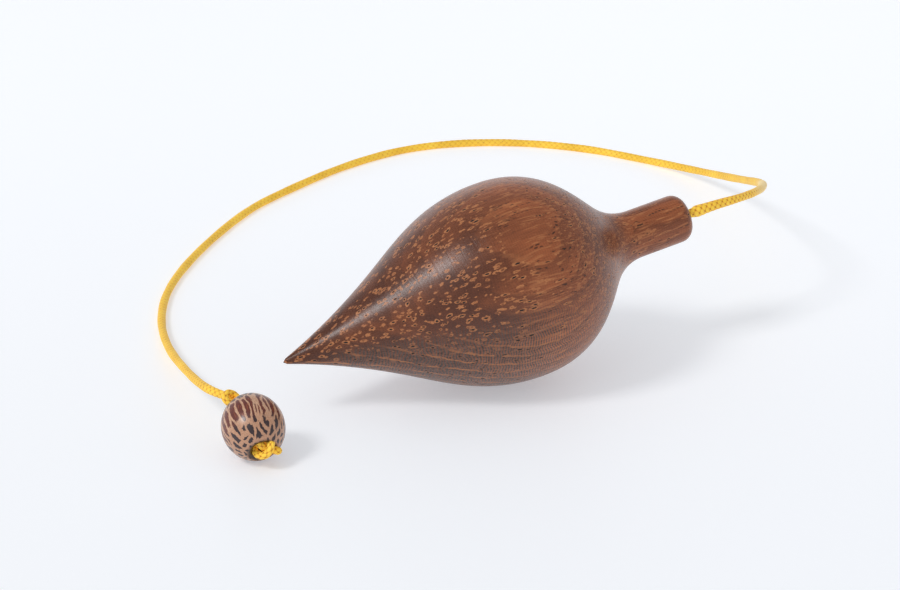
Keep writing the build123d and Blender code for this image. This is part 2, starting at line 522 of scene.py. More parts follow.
@dataclass(frozen=True)
class HardwoodFinish:
    """Oiled and burnished hardwood whose grain runs along the bob.

    Distances are in millimetres, and spans run along the grain from the tip: a zone is absent
    at a span's first end and full at its second. Growth layers are stacked along ring_normal,
    and quarter_face is the side whose surface shows the fine ripple of the storied cells.
    """

    tip: Array
    axis: Array
    ring_normal: Array
    quarter_face: Array
    dark: Colour = srgb(70, 36, 24)
    brown: Colour = srgb(114, 62, 36)
    red: Colour = srgb(152, 84, 48)
    tan: Colour = srgb(204, 136, 86)
    grey: Colour = srgb(112, 96, 88)
    pore: Colour = srgb(26, 13, 9)
    taper_span: Span = (41.0, 30.0)
    tip_span: Span = (24.0, 6.0)
    shoulder_start: Span = (45.0, 51.0)
    shoulder_end: Span = (61.0, 57.0)
    quarter_start: Span = (4.0, 11.0)
    quarter_end: Span = (54.0, 34.0)
    quarter_facing: Span = (0.56, 0.92)
    axis_guard: float = 0.01
    wander: float = 3.0
    ring_spacing: float = 1.9
    fleck_spacing: float = 0.72
    fleck_girth: float = 0.37
    dash_spacing: float = 0.62
    dash_girth: float = 0.27
    gap_spacing: float = 0.9
    ripple_pitch: float = 0.43
    relief: float = 0.075
    gloss: float = 0.28

    def material(self) -> bpy.types.Material:
        """Pale marks over the ground, then the vessels' dark mouths over both."""
        s = Shader("oiled_hardwood")
        figure = WoodFigure(s, self)
        ring_place, ring_line = figure.rings()
        sheaths, pores = figure.flecks()
        dashes, slits = figure.dashes()
        streaks = figure.streak.step(0.58, 0.64) * (1.0 - figure.taper)
        pale = (ring_line * 0.8).larger(sheaths * 0.9).larger(dashes * 0.8).larger(streaks * 0.55)
        pores = pores.larger(slits * figure.gaps)

        tan = s.scaled(s.mix(figure.coarse + 0.5, self.tan, self.red), 0.66 + figure.fibre * 0.62)
        colour = s.mix(pale, self._ground(s, figure, ring_place), tan)
        colour = s.mix(pores.larger(figure.open_lines() * 0.8), colour, self.pore)

        turned = s.noise(s.vector(figure.grain * 4.2, figure.coarse * 0.6), 1.0, 3.0, 0.65) - 0.5
        hair = figure.fibre - 0.5
        height = 0.5 + hair * 0.30 + turned * 0.90 + pale * 0.06 - pores * 0.55
        return s.finish(
            Base_Color=colour,
            Roughness=self.gloss + pale * 0.10 + hair * 0.12 + pores * 0.3,
            Normal=s.bump(height, 0.6, self.relief),
            Specular_IOR_Level=0.38,
            Coat_Weight=0.05,
            Coat_Roughness=0.14,
        )

    def _ground(self, s: Shader, figure: "WoodFigure", ring_place: Value) -> Value:
        """Colour of the wood between its marks.

        Clouds of dark and brown, warmed by red away from the tip, darker towards each layer's
        end, greyer where the ripple shows, and shaded by fibres and ripple.

        Args:
            s: The shader.
            figure: The wood's marks.
            ring_place: Share of the way through a growth layer.

        Returns:
            The ground's colour.
        """
        cloud, taper, shoulder = figure.cloud, figure.taper, figure.shoulder
        weave, ripple = figure.ripple()
        warm = (1.0 - taper * 0.72) * (0.45 + cloud * 0.75) * (1.0 - shoulder * 0.35)
        ground = s.mix(cloud.step(0.36, 0.64), self.dark, self.brown)
        ground = s.mix(warm, ground, self.red)
        ground = s.mix(ring_place.step(0.15, 0.95) * 0.35, ground, self.dark)
        ground = s.mix(figure.quarter * (0.45 - weave * 0.40), ground, self.grey)
        near_tip = figure.grain.step(*self.tip_span)
        shade = 0.99 - taper * 0.12 - near_tip * 0.14 - shoulder * 0.12
        return s.scaled(ground, (0.66 + figure.fibre * 0.84 + ripple) * shade)


class WoodFigure:
    """The hardwood's marks, each as a value over the bob.

    Distances are in millimetres: grain from the tip along the bob, layer across the growth
    layers, and side along them. Zones are shares, from 0 outside to 1 inside.
    """

    def __init__(self, s: Shader, wood: HardwoodFinish) -> None:
        """Measure the place in the bob's frame, then its zones and the noises marks share.

        Args:
            s: The shader that the marks are for.
            wood: The finish that gives their sizes and zones.
        """
        self.s, self.wood = s, wood
        self.breadth = np.cross(wood.axis, wood.ring_normal)
        place = s.object_place()
        self.grain = s.along(place, wood.tip, wood.axis)
        self.layer = s.along(place, wood.tip, wood.ring_normal)
        self.side = s.along(place, wood.tip, self.breadth)

        from_axis_squared = self.layer * self.layer + self.side * self.side
        self.from_axis = (from_axis_squared + wood.axis_guard) ** 0.5
        self.taper = self.grain.step(*wood.taper_span)
        self.shoulder = self.grain.step(*wood.shoulder_start) * self.grain.step(*wood.shoulder_end)
        self.slanted = self.taper.larger(self.shoulder)
        self.quarter = self._quarter()

        self.bent_layer = self.layer + (self.stretched(0.05, 0.13) - 0.5) * wood.wander
        crossed = s.vector(self.grain * 0.07, self.side * 0.15, self.layer * 0.15 + 7.0)
        self.bent_side = self.side + (s.noise(crossed, 1.0, 2.0) - 0.5) * wood.wander
        self.ragged = self.stretched(1.7, 3.4) - 0.5
        self.coarse = self.stretched(0.75, 1.2, detail=1.0) - 0.5
        self.cloud = self.stretched(0.06, 0.17)
        self.patch = self.stretched(0.11, 0.2, detail=1.0, shift=3.0)
        self.fibre = self.stretched(0.4, 6.0, detail=3.0, rough=0.6)
        thread = s.vector(self.grain * 0.17, self.bent_layer * 3.1, self.bent_side * 3.1)
        self.streak = s.noise(thread, 1.0, 1.0)
        run = (self.grain / wood.gap_spacing + self.cloud * 17.0).fraction()
        self.gaps = (run - 0.5).size().step(0.38, 0.24)

    def stretched(
        self,
        along: float,
        across_grain: float,
        detail: float = 2.0,
        rough: float = 0.5,
        shift: float = 0.0,
    ) -> Value:
        """Noise drawn out along the grain.

        Args:
            along: Turns of the noise to a millimetre along the grain.
            across_grain: Turns to a millimetre across it.
            detail: Octaves of finer noise.
            rough: Strength of each octave beside the one before.
            shift: Sets one noise apart from another of the same stretch.

        Returns:
            The noise, about 0.5.
        """
        side = self.side * across_grain + shift
        place = self.s.vector(self.grain * along, self.layer * across_grain, side)
        return self.s.noise(place, 1.0, detail, rough)

    def _quarter(self) -> Value:
        """Zone of the side where the layers stand square to the surface.

        Its share is the cosine between the spoke and the quarter face, stepped.

        Returns:
            The zone.
        """
        wood = self.wood
        towards = (self.layer * float(wood.quarter_face @ wood.ring_normal)
                   + self.side * float(wood.quarter_face @ self.breadth))
        facing = (towards / self.from_axis).step(*wood.quarter_facing)
        return facing * self.grain.step(*wood.quarter_start) * self.grain.step(*wood.quarter_end)

    def cell_marks(
        self, run: Value, layer: Value, side: Value, spacing: float, girth: float
    ) -> tuple[Value, Value]:
        """Pale sheaths round the vessels, and the vessels' dark mouths inside them.

        Each cell of a solid cell pattern holds one fleck, and its ragged distance from the
        cell's centre gives a rim, a browner inside and, in some cells, an open pore.

        Args:
            run: Cells counted along the grain.
            layer: Place across the growth layers.
            side: Place along the growth layers.
            spacing: Distance between flecks across the grain.
            girth: Radius of a fleck as a share of the spacing.

        Returns:
            Strengths of the pale sheaths and of the dark pores.
        """
        cell = self.s.vector(layer / spacing, side / spacing, run)
        distance, luck = self.s.cells(cell, 1.0)
        wavy = self.ragged * (girth * 1.7) + self.coarse * (girth * 1.2)
        reach = distance * (1.25 - luck * 0.5) + wavy
        body = reach.step(girth, girth * 0.8)
        inside = (reach + self.ragged * 0.2).step(girth * 0.2, girth * 0.55)
        mouth = (distance + self.ragged * 0.10).step(girth * 0.58, girth * 0.40)
        return body * (0.20 + inside * 0.80), mouth * luck.step(0.26, 0.34)

    def flecks(self) -> tuple[Value, Value]:
        """Short flecks where the surface slants across the grain: the cone and the shoulder.

        Cells get shorter along the grain towards the tip and past the belly.

        Returns:
            Strengths of the pale sheaths and of the dark pores.
        """
        wood, grain = self.wood, self.grain
        run = grain * 0.18 + (grain - 40.0).smaller(0.0) * 0.22 + (grain - 46.0).larger(0.0) * 0.55
        sheaths, pores = self.cell_marks(
            run, self.bent_layer, self.bent_side, wood.fleck_spacing, wood.fleck_girth
        )
        crowd = (self.patch + self.slanted * 0.36).step(0.58, 0.67)
        return sheaths * crowd * (1.0 - self.quarter * 0.75), pores * crowd

    def dashes(self) -> tuple[Value, Value]:
        """Long thin marks where the surface runs with the grain: the belly and the neck.

        Returns:
            Strengths of the pale dashes and of the dark slits in them.
        """
        wood = self.wood
        run = self.grain * 0.17 + self.layer * 0.03
        dashes, slits = self.cell_marks(
            run, self.bent_side, self.bent_layer, wood.dash_spacing, wood.dash_girth
        )
        lined = (self.patch * 0.8 + 0.16 - self.slanted).step(0.40, 0.52)
        return dashes * lined, slits * lined

    def rings(self) -> tuple[Value, Value]:
        """Growth layers: bent planes across ring_normal, with a pale line where two meet.

        Returns:
            Share of the way through a layer, and the line's strength.
        """
        scallop = self.s.vector(self.grain * 0.34, self.bent_side * 0.8, self.layer * 0.3)
        scallop = (self.s.noise(scallop, 1.0, 3.0) - 0.5) * (0.12 + self.taper * 0.30)
        curl = self.bent_side * self.bent_side * 0.004
        ring = self.bent_layer / self.wood.ring_spacing + curl + scallop + self.ragged * 0.06
        ring_place = ring.fraction()
        broken = self.stretched(0.3, 0.9, detail=3.0, shift=4.0).step(0.38, 0.50)
        threads = self.taper.larger(self.streak.step(0.50, 0.60) * 0.75)
        facing_up = (self.layer / self.from_axis).step(0.2, 0.75)
        line = (ring_place - 0.5).size().step(0.395, 0.455) * broken
        return ring_place, line * threads * (1.0 - self.taper * facing_up)

    def open_lines(self) -> Value:
        """Dark open grooves, broken along the grain, in patches off the slanted zones."""
        grooves = self.streak.step(0.37, 0.33) * self.gaps
        return grooves * (1.0 - self.slanted) * self.patch.step(0.38, 0.47)

    def ripple(self) -> tuple[Value, Value]:
        """Fine bands across the grain: a sine along it, set off by row and broken by the rays.

        Returns:
            The bands from -1 to 1, and their shade, strongest on the quarter face.
        """
        rows = self.stretched(0.12, 0.5, detail=1.0)
        rays = self.stretched(0.35, 3.2, detail=1.0, shift=2.0)
        weave = (self.grain * (math.tau / self.wood.ripple_pitch) + rows * 22.0).sine()
        return weave, (weave * 0.7 + (rays - 0.5) * 2.0) * (0.10 + self.quarter * 0.74)


@dataclass(frozen=True)
class PalmFinish:
    """Polished palm wood: pale ground with dark fibre bundles that run with the bore.

    Distances are in millimetres from the bead's centre.
    """

    centre: Array
    bore: Array
    tan: Colour = srgb(232, 192, 158)
    beige: Colour = srgb(184, 128, 96)
    maroon: Colour = srgb(98, 38, 28)
    rust: Colour = srgb(140, 72, 44)
    ink: Colour = srgb(50, 32, 34)
    # Painted shade in the hollowed mouths round the bore.
    mouth_shade: Colour = srgb(46, 22, 12)
    bundle_spacing: float = 0.98
    bundle_edge: Span = (0.10, 0.17)
    bundle_lean: float = 1.8
    lower_span: Span = (0.4, 2.4)
    end_span: Span = (2.0, 3.8)
    mouth_shade_span: Span = (2.65, 1.9)
    relief: float = 0.05

    def material(self) -> bpy.types.Material:
        """Bundles as lines along the bore: streaks on the side and spots at the ends."""
        s = Shader("polished_palm_wood")
        place = s.object_place()
        first, second = across(self.bore)
        grain = s.along(place, self.centre, self.bore)
        x = s.along(place, self.centre, first)
        y = s.along(place, self.centre, second)
        ragged = s.noise(s.vector(grain * 1.1, x * 3.2, y * 3.2), 1.0, 3.0) - 0.5
        threads = s.noise(s.vector(grain * 0.8, x * 7.0, y * 7.0), 1.0, 2.0)
        speck = s.noise(s.vector(grain * 2.6, x * 8.0, y * 8.0), 1.0, 3.0, 0.65)
        grit = speck - 0.5
        lower = grain.step(*self.lower_span)
        ends = grain.size().step(*self.end_span).larger(lower)

        reach = self._to_border(s, grain, x, y) + ragged * 0.42 + grit * 0.10 - lower * 0.07
        bundle = reach.step(*self.bundle_edge)
        bundle_colour = s.mix(threads.step(0.52, 0.66), self.maroon, self.rust)
        bundle_colour = s.scaled(s.mix(ends, bundle_colour, self.ink), 0.62 + speck * 0.8)
        ground = s.mix(speck.step(0.32, 0.66), self.beige, self.tan)
        ground = s.mix(lower * 0.45, ground, self.beige)
        ground = s.scaled(ground, 0.70 + threads * 0.50)
        ground = s.mix(speck.step(0.55, 0.62) * 0.6, ground, self.maroon)
        ground = s.mix(threads.step(0.60, 0.70) * (1.0 - ends) * 0.5, ground, self.rust)
        from_bore = (x * x + y * y) ** 0.5
        colour = s.mix(bundle, ground, bundle_colour)
        # Painted shade: each mouth turns dark brown towards the bore.
        colour = s.mix(from_bore.step(*self.mouth_shade_span), colour, self.mouth_shade)
        return s.finish(
            Base_Color=colour,
            Roughness=0.34 + grit * 0.2,
            Normal=s.bump(0.5 + bundle * 0.18 + grit * 0.3, 0.4, self.relief),
            Coat_Weight=0.25,
            Coat_Roughness=0.2,
        )

    def _to_border(self, s: Shader, grain: Value, x: Value, y: Value) -> Value:
        """How far inside its bundle a place lies, in bundle spacings.

        The bundles are cells in the plane across the bore, and each leans a little as it runs.

        Args:
            s: The shader.
            grain: Place along the bore.
            x: Place across the bore.
            y: Place across the bore, square to x.

        Returns:
            Distance to the nearest border between two bundles.
        """
        lean_x = s.noise(s.vector(grain * 0.17, x * 0.3, y * 0.3), 1.0, 2.0) - 0.5
        lean_y = s.noise(s.vector(x * 0.3, grain * 0.17, y * 0.3 + 5.0), 1.0, 2.0) - 0.5
        section = s.vector(x + lean_x * self.bundle_lean, y + lean_y * self.bundle_lean)
        settings = {"voronoi_dimensions": "2D", "feature": "DISTANCE_TO_EDGE"}
        inputs = {"Vector": section, "Scale": 1.0 / self.bundle_spacing, "Randomness": 0.9}
        return s.node("ShaderNodeTexVoronoi", settings, inputs, "Distance")


@dataclass(frozen=True)
class BraidFinish:
    """Waxed braid: two families of strands that cross one over one."""

    strands: int = 4
    filaments: float = 5.0
    bright: Colour = srgb(255, 216, 84)
    gold: Colour = srgb(255, 196, 50)
    # Painted shade of the gaps between the strands.
    shade: Colour = srgb(190, 112, 24)
    fleck: Colour = srgb(172, 120, 60)
    # Pale cream of the painted highlight on the cord's high bend.
    painted_highlight: Colour = srgb(250, 226, 170)
    blotches_per_metre: float = 260.0
    specks_per_metre: float = 2600.0
    relief: float = 0.06
    # Strength of the braid's painted glow: it gives off a little light of its own colour, though it
    # is no lamp.
    glow: float = 0.09

    def material(self) -> bpy.types.Material:
        """Strands from the braid's own coordinates, as in Braid.relief, with filaments on each."""
        s = Shader("waxed_braid")
        turns = s.node("ShaderNodeSeparateXYZ", inputs=(s.node("ShaderNodeTexCoord", output="UV"),))
        round_it = turns.output("Y")
        left = (round_it - turns) * self.strands
        right = (round_it + turns) * self.strands
        left_place, right_place = left.fraction() - 0.5, right.fraction() - 0.5
        left_high = dome_of(left_place) + (right * math.pi).sine() * sign_of(left)
        right_high = dome_of(right_place) - (left * math.pi).sine() * sign_of(right)
        left_on_top = left_high.above(right_high)
        right_on_top = 1.0 - left_on_top
        place_on = left_place * left_on_top + right_place * right_on_top
        run_on = right * left_on_top + left * right_on_top
        lift = left_high.larger(right_high).step(0.5, 1.7)

        filament = (place_on * (self.filaments * math.tau)).sine() * 0.5 + 0.5
        tint = s.noise(s.vector(left.floor() * 3.7, right.floor() * 5.3), 1.0, 0.0)
        frizz = s.noise(s.vector(run_on * 3.0, place_on * 9.0, left_on_top * 4.0), 1.0, 2.0)
        highlight_share, open_braid = s.attribute("highlight_share"), s.attribute("open_braid")
        place = s.object_place()
        blotch = s.noise(place, self.blotches_per_metre, 1.0)
        dirt = s.noise(place, self.specks_per_metre, 1.0).step(0.66, 0.72)

        light = 0.79 + open_braid * 0.14 + filament * 0.14 + frizz * 0.12 + (blotch - 0.5) * 0.35
        strand = s.scaled(s.mix(tint * 0.5 + blotch * 0.5, self.gold, self.bright), light)
        # Painted shade: where the strands' backs sink into the gaps the colour turns to the shade
        # colour, the more so where the braid is open.
        colour = s.mix(1.0 - (1.0 - lift) * open_braid, self.shade, strand)
        # Painted highlight: pale cream mixed in round the cord's high bend.
        colour = s.mix(highlight_share * (0.4 + blotch), colour, self.painted_highlight)
        colour = s.mix(dirt * 0.45, colour, self.fleck)
        return s.finish(
            Base_Color=colour,
            Roughness=0.50 + frizz * 0.12,
            Normal=s.bump(lift * 0.7 + filament * 0.18 + frizz * 0.2, 0.5, self.relief),
            Specular_IOR_Level=0.3,
            Sheen_Weight=0.1,
            Sheen_Roughness=0.4,
            # Painted glow: the braid shines with its own colour, which brightens it all over and
            # most where it lies in shade.
            Emission_Color=colour,
            Emission_Strength=self.glow,
        )


def sign_of(value: Value) -> Value:
    """1 where the floor of a value is even and -1 where it is odd."""
    return 1.0 - ((value.floor() / 2.0).fraction() * 2.0).above(0.5) * 2.0


def dome_of(place: Value) -> Value:
    """Round back of a strand, from its middle at 0 to its edges at half a width."""
    return (1.0 - place * place * 4.0).larger(0.0) ** 0.5


@dataclass(frozen=True)
class GlueFinish:
    """Cured clear glue, slightly yellow, with small bubbles."""

    amber: Colour = srgb(214, 190, 130)
    pale: Colour = srgb(232, 218, 176)
    clouds_per_metre: float = 900.0
    bubbles_per_metre: float = 2600.0
    relief: float = 0.05

    def material(self) -> bpy.types.Material:
        """Cloudy amber with bubbles of a few tenths of a millimetre."""
        s = Shader("cured_glue")
        place = s.object_place()
        cloud = s.noise(place, self.clouds_per_metre, 2.0)
        bubble, _ = s.cells(place, self.bubbles_per_metre)
        return s.finish(
            Base_Color=s.mix(cloud, self.amber, self.pale),
            Roughness=0.18 + cloud * 0.1,
            Normal=s.bump(bubble.step(0.15, 0.4), 0.3, self.relief),
        )


@dataclass(frozen=True)
class BoardFinish:
    """Smooth white board, a little lit from below, most at its far right, with a soft shine.

    Spans are in millimetres from the middle, along right and along away.
    """

    middle: Array
    right: Array
    away: Array
    white: Colour = (0.70, 0.707, 0.72, 1.0)
    glow: Colour = (0.90, 0.935, 1.0)
    glow_strength: float = 0.40
    right_span: Span = (-90.0, 90.0)
    away_span: Span = (-140.0, 140.0)

    def material(self) -> bpy.types.Material:
        """White with the faintest cloud in its shine."""
        s = Shader("white_board")
        place = s.object_place()
        cloud = s.noise(place, 6.0, 2.0)
        rightward = s.along(place, self.middle, self.right).step(*self.right_span)
        farther = s.along(place, self.middle, self.away).step(*self.away_span)
        return s.finish(
            Base_Color=self.white,
            Roughness=0.46 + cloud * 0.04,
            Specular_IOR_Level=0.25,
            Emission_Color=s.scaled(self.glow, 0.83 + rightward * 0.10 + farther * 0.19),
            Emission_Strength=self.glow_strength,
        )


@dataclass(frozen=True)
class PaleRoom:
    """White walls that are brighter than the ceiling, so that they light an object's sides."""

    tint: Colour = (0.95, 0.97, 1.0, 1.0)
    ceiling: float = 0.50
    walls: float = 0.74
    turn_span: Span = (0.05, 0.75)

    def world(self) -> bpy.types.World:
        """Strength falls from the walls' to the ceiling's with height above the horizon."""
        s = RoomShader("pale_room")
        way = s.node("ShaderNodeTexCoord", output="Generated")
        height = s.node("ShaderNodeSeparateXYZ", inputs=(way,), output="Z")
        fall = height.step(*self.turn_span) * (self.ceiling - self.walls)
        return s.finish(Color=self.tint, Strength=self.walls + fall)


# ---------------------------------------------------------------------------------------------
# The bob
# ---------------------------------------------------------------------------------------------


@dataclass
class Bob:
    """The turned bob, as one closed surface of revolution with its blind bore.

    The CAD bob's own points give its tip, its axis and the outline between tip and neck.
    """

    mouth: Array
    bore_radius: float = 0.75 * MM
    bore_depth: float = 12.0 * MM
    chamfer: float = 0.5 * MM
    depth_margin: float = 1.01
    chamfer_margin: float = 1.2
    same_place: float = 0.002 * MM
    end_face: float = 0.004 * MM
    edge_step: float = 0.999
    belly_crowding: float = 0.06
    columns: int = 360
    rows: int = 190
    bore_rows: int = 14
    layers_face: tuple[float, float, float] = (0.0, -0.563, 0.826)
    quarter_face: tuple[float, float, float] = (0.0, -0.76, -0.65)
    points: Array = field(init=False)
    tip: Array = field(init=False)
    axis: Array = field(init=False)
    length: float = field(init=False)

    def __post_init__(self) -> None:
        """Find the tip, the point of the CAD bob that lies furthest from the neck's mouth."""
        self.points = mesh_points(frame["nodes"]["bob"].data)
        reach = np.linalg.norm(self.points - self.mouth, axis=1)
        self.tip = self.points[reach.argmax()]
        self.axis = unit(self.mouth - self.tip)
        self.length = float(reach.max())

    def outside(self) -> tuple[Array, Array]:
        """The outer profile: station is the distance along the axis, radius that from it.

        Points near the axis at the neck's end belong to the bore and are left out, and so is a
        point at the same station as the one before.

        Returns:
            Stations from the tip and radii, in metres.
        """
        offset = self.points - self.tip
        station = offset @ self.axis
        radius = np.linalg.norm(offset - station[:, None] * self.axis, axis=1)
        near_bore = station > self.length - self.depth_margin * self.bore_depth
        in_bore = near_bore & (radius < self.bore_radius + self.chamfer_margin * self.chamfer)
        station, radius = station[~in_bore], radius[~in_bore]
        order = np.argsort(station)
        station, radius = station[order], radius[order]
        keep = np.append(True, np.diff(station) > self.same_place)
        return station[keep], radius[keep]

    def profile(self) -> tuple[Array, Array]:
        """The whole outline, from the tip over the neck's end face to the bore's bottom.

        Rings of the outside stand at t + belly_crowding * sin(turn * t) of its length for t below
        a half and at t above, which leaves them closest at the belly.

        Returns:
            Stations from the tip and radii, in metres.
        """
        station, radius = self.outside()
        body = station < self.length - self.end_face
        t = np.linspace(0.0, 1.0, self.rows)
        spread = t + self.belly_crowding * np.sin(math.tau * t) * (t < 0.5)
        fine = spread * station[body][-1]
        outer = np.interp(fine, station[body], radius[body])
        edge, lip = radius[body][-1], self.bore_radius + self.chamfer
        face = np.array([edge * self.edge_step, (edge + lip) / 2, lip])
        floor_at = self.length - self.bore_depth
        wall = np.linspace(self.length - self.chamfer, floor_at, self.bore_rows)
        stations = np.concatenate([fine[1:], np.full_like(face, self.length), wall, [floor_at]])
        bore = [np.full_like(wall, self.bore_radius), [self.bore_radius / 2]]
        return stations, np.concatenate([outer[1:], face, *bore])

    def build(self) -> bpy.types.Object:
        """Carry the outline round the axis and close it at the tip and the bore's bottom."""
        stations, radii = self.profile()
        rings = revolve(self.tip, self.axis, stations, radii, self.columns)
        floor_centre = self.tip + stations[-1] * self.axis
        mesh = closed_tube_mesh("turned_bob", rings, self.tip, floor_centre)
        return place_piece(mesh, "bob", "bob")

    def dress(self, piece: bpy.types.Object) -> None:
        """Give the bob its wood, with the growth layers square to its upper front.

        Args:
            piece: The bob's object.
        """
        up = unit(np.array(self.layers_face))
        ring_normal = unit(up - (up @ self.axis) * self.axis)
        quarter_face = unit(np.array(self.quarter_face))
        finish = HardwoodFinish(self.tip, self.axis, ring_normal, quarter_face)
        piece.data.materials.append(finish.material())


# ---------------------------------------------------------------------------------------------
# The bead
# ---------------------------------------------------------------------------------------------


@dataclass
class Bead:
    """The palm-wood bead: a long round body with a bore and a hollowed mouth at each end."""

    centre: Array
    bore: Array
    radius: float = 4.825 * MM
    half_length: float = 5.404 * MM
    bore_radius: float = 1.0 * MM
    mouth_radius: float = 2.35 * MM
    columns: int = 220
    rows: int = 110
    mouth_rows: int = 12
    bore_rows: int = 24

    def profile(self) -> tuple[Array, Array]:
        """Closed loop of the round side, a mouth, the bore and the other mouth.

        The side is an ellipse, station = half_length * sin(t) and radius = radius * cos(t). Each
        mouth is a quarter wave from the rim to the bore: it goes in as 1 - cos^1.2 and narrows
        as sin^0.9, which rounds its edge.

        Returns:
            Stations along the bore from the bead's centre and radii, in metres.
        """
        edge = math.acos(self.mouth_radius / self.radius)
        t = np.linspace(-edge, edge, self.rows)
        side_station, side_radius = self.half_length * np.sin(t), self.radius * np.cos(t)
        rim = side_station[-1]
        depth = self.mouth_radius - self.bore_radius
        q = np.linspace(0.0, math.pi / 2, self.mouth_rows)[1:]
        mouth_station = rim - depth * (1.0 - np.cos(q) ** 1.2)
        mouth_radii = self.mouth_radius - depth * np.sin(q) ** 0.9
        wall = np.linspace(mouth_station[-1], -mouth_station[-1], self.bore_rows)[1:-1]
        bore = np.full_like(wall, self.bore_radius)
        stations = np.concatenate([side_station, mouth_station, wall, -mouth_station[::-1]])
        radii = np.concatenate([side_radius, mouth_radii, bore, mouth_radii[::-1]])
        return stations, radii

    def build(self) -> bpy.types.Object:
        """Carry the loop round the bore, which gives a closed ring-shaped body."""
        stations, radii = self.profile()
        rings = revolve(self.centre, self.bore, stations, radii, self.columns)
        rows = len(stations)
        quads = lattice_quads(rows + 1, self.columns) % (rows * self.columns)
        mesh = smooth_mesh("palm_bead", rings.reshape(-1, 3), quads.tolist())
        return place_piece(mesh, "bead", "bead")

    def dress(self, piece: bpy.types.Object) -> None:
        """Give the bead its palm wood."""
        piece.data.materials.append(PalmFinish(self.centre, self.bore).material())


# ---------------------------------------------------------------------------------------------
# The cord
# ---------------------------------------------------------------------------------------------


@dataclass(frozen=True)
class Braid:
    """Round braid of two families of strands that wind opposite ways."""

    diameter: float = 1.3 * MM
    pitch: float = 4.4 * MM
    strands: int = 4
    depth: float = 0.17
    columns: int = 32
    ring_gap: float = 0.097 * MM

    def relief(self, along: Array, angle: Array) -> Array:
        """Height of the braid's surface, from 0 in the gaps to 1 on the strands' backs.

        left and right count strands of the two families at a place: strands * (angle / turn -+
        along / pitch). Each strand is a dome over its width, raised where it passes over the
        other family and sunk where it passes under, and the higher of the two shows.

        Args:
            along: Places along the cord, in metres.
            angle: Places round it, in radians.

        Returns:
            The heights, in the shape that the two give together.
        """
        left = self.strands * (angle / math.tau - along / self.pitch)
        right = self.strands * (angle / math.tau + along / self.pitch)

        def dome(count: Array) -> Array:
            """Round back of a strand over its width."""
            return np.sqrt(np.maximum(0.0, 1.0 - 4.0 * (count - np.floor(count) - 0.5) ** 2))

        left_sign = 1.0 - 2.0 * (np.floor(left) % 2)
        right_sign = 1.0 - 2.0 * (np.floor(right) % 2)
        left_high = dome(left) + np.sin(math.pi * right) * left_sign
        right_high = dome(right) - np.sin(math.pi * left) * right_sign
        return np.clip(np.maximum(left_high, right_high) / 2.0, 0.0, 1.0)


def even_stations(path: Array, gap: float) -> tuple[Array, Array]:
    """Points spaced evenly along a line of points.

    Args:
        path: Points of the line, shape (n, 3).
        gap: Wanted distance between neighbours.

    Returns:
        The even points and their distances from the start.
    """
    lengths = np.append(0.0, np.cumsum(np.linalg.norm(np.diff(path, axis=0), axis=1)))
    count = max(8, int(round(lengths[-1] / gap)))
    stations = np.linspace(0.0, lengths[-1], count)
    even = np.stack([np.interp(stations, lengths, path[:, k]) for k in range(3)], axis=1)
    return even, stations


def carried_frames(path: Array) -> tuple[Array, Array, Array]:
    """Tangents and two crosswise directions that turn as little as they can along a path.

    Each step reflects the last frame in the plane between two points and then in the plane
    between their tangents, which carries it forward without twist.

    Args:
        path: Points of the line, shape (n, 3).

    Returns:
        Unit tangents, first and second crosswise directions, each of shape (n, 3).
    """
    tangents = unit(np.gradient(path, axis=0))
    first = np.empty_like(path)
    first[0] = across(tangents[0])[0]
    for k in range(len(path) - 1):
        step = path[k + 1] - path[k]
        size = step @ step
        side = first[k] - (2.0 / size) * (step @ first[k]) * step
        tangent = tangents[k] - (2.0 / size) * (step @ tangents[k]) * step
        turn = tangents[k + 1] - tangent
        square = turn @ turn
        first[k + 1] = side - (2.0 / square) * (turn @ side) * turn if square > 0 else side
    return tangents, first, np.cross(tangents, first)


def half_open(station: Array) -> Array:
    """How open a short run's braid is, the same all along."""
    return np.full_like(station, 0.95)


@dataclass
class BraidedRun:
    """A stretch of cord: the braid carried along a line, with a round cap at each end."""

    name: str
    path: Array
    braid: Braid
    girth: Callable[[Array], Array] = np.ones_like
    # Share of painted highlight along the run, from 0 to 1.
    highlight_share: Callable[[Array], Array] = np.zeros_like
    open_braid: Callable[[Array], Array] = half_open
    cap_floor: float = 0.03

    def mesh(self) -> bpy.types.Mesh:
        """The run's closed mesh, with its braid coordinates, painted highlight share and openness.

        A ring's radius is half the diameter times the local girth times 1 less the depth of the
        gap, and inside half a diameter of an end it also follows a circle's edge.

        Returns:
            The mesh.
        """
        braid = self.braid
        line, stations = even_stations(self.path, braid.ring_gap)
        _, first, second = carried_frames(line)
        angle = np.arange(braid.columns) * math.tau / braid.columns
        relief = braid.relief(stations[:, None], angle[None, :])
        opened = self.open_braid(stations)
        radius = braid.diameter / 2 * self.girth(stations)
        from_end = np.minimum(stations, stations[-1] - stations)
        inside = np.clip(1.0 - from_end / radius, 0.0, 1.0)
        capped = radius * np.sqrt(np.maximum(1.0 - inside**2, self.cap_floor))
        radii = capped[:, None] * (1.0 - braid.depth * opened[:, None] * (1.0 - relief))
        spoke = spokes(braid.columns, first[:, None], second[:, None])
        rings = line[:, None] + radii[..., None] * spoke
        mesh = closed_tube_mesh(self.name, rings, line[0], line[-1])
        give_tube_uv(mesh, len(line), braid.columns, stations / braid.pitch)
        for name, share in (("highlight_share", self.highlight_share(stations)), ("open_braid", opened)):
            values = np.concatenate([np.repeat(share, braid.columns), share[[0, -1]]])
            layer = mesh.attributes.new(name, "FLOAT", "POINT")
            layer.data.foreach_set("value", values.astype(np.float32))
        return mesh


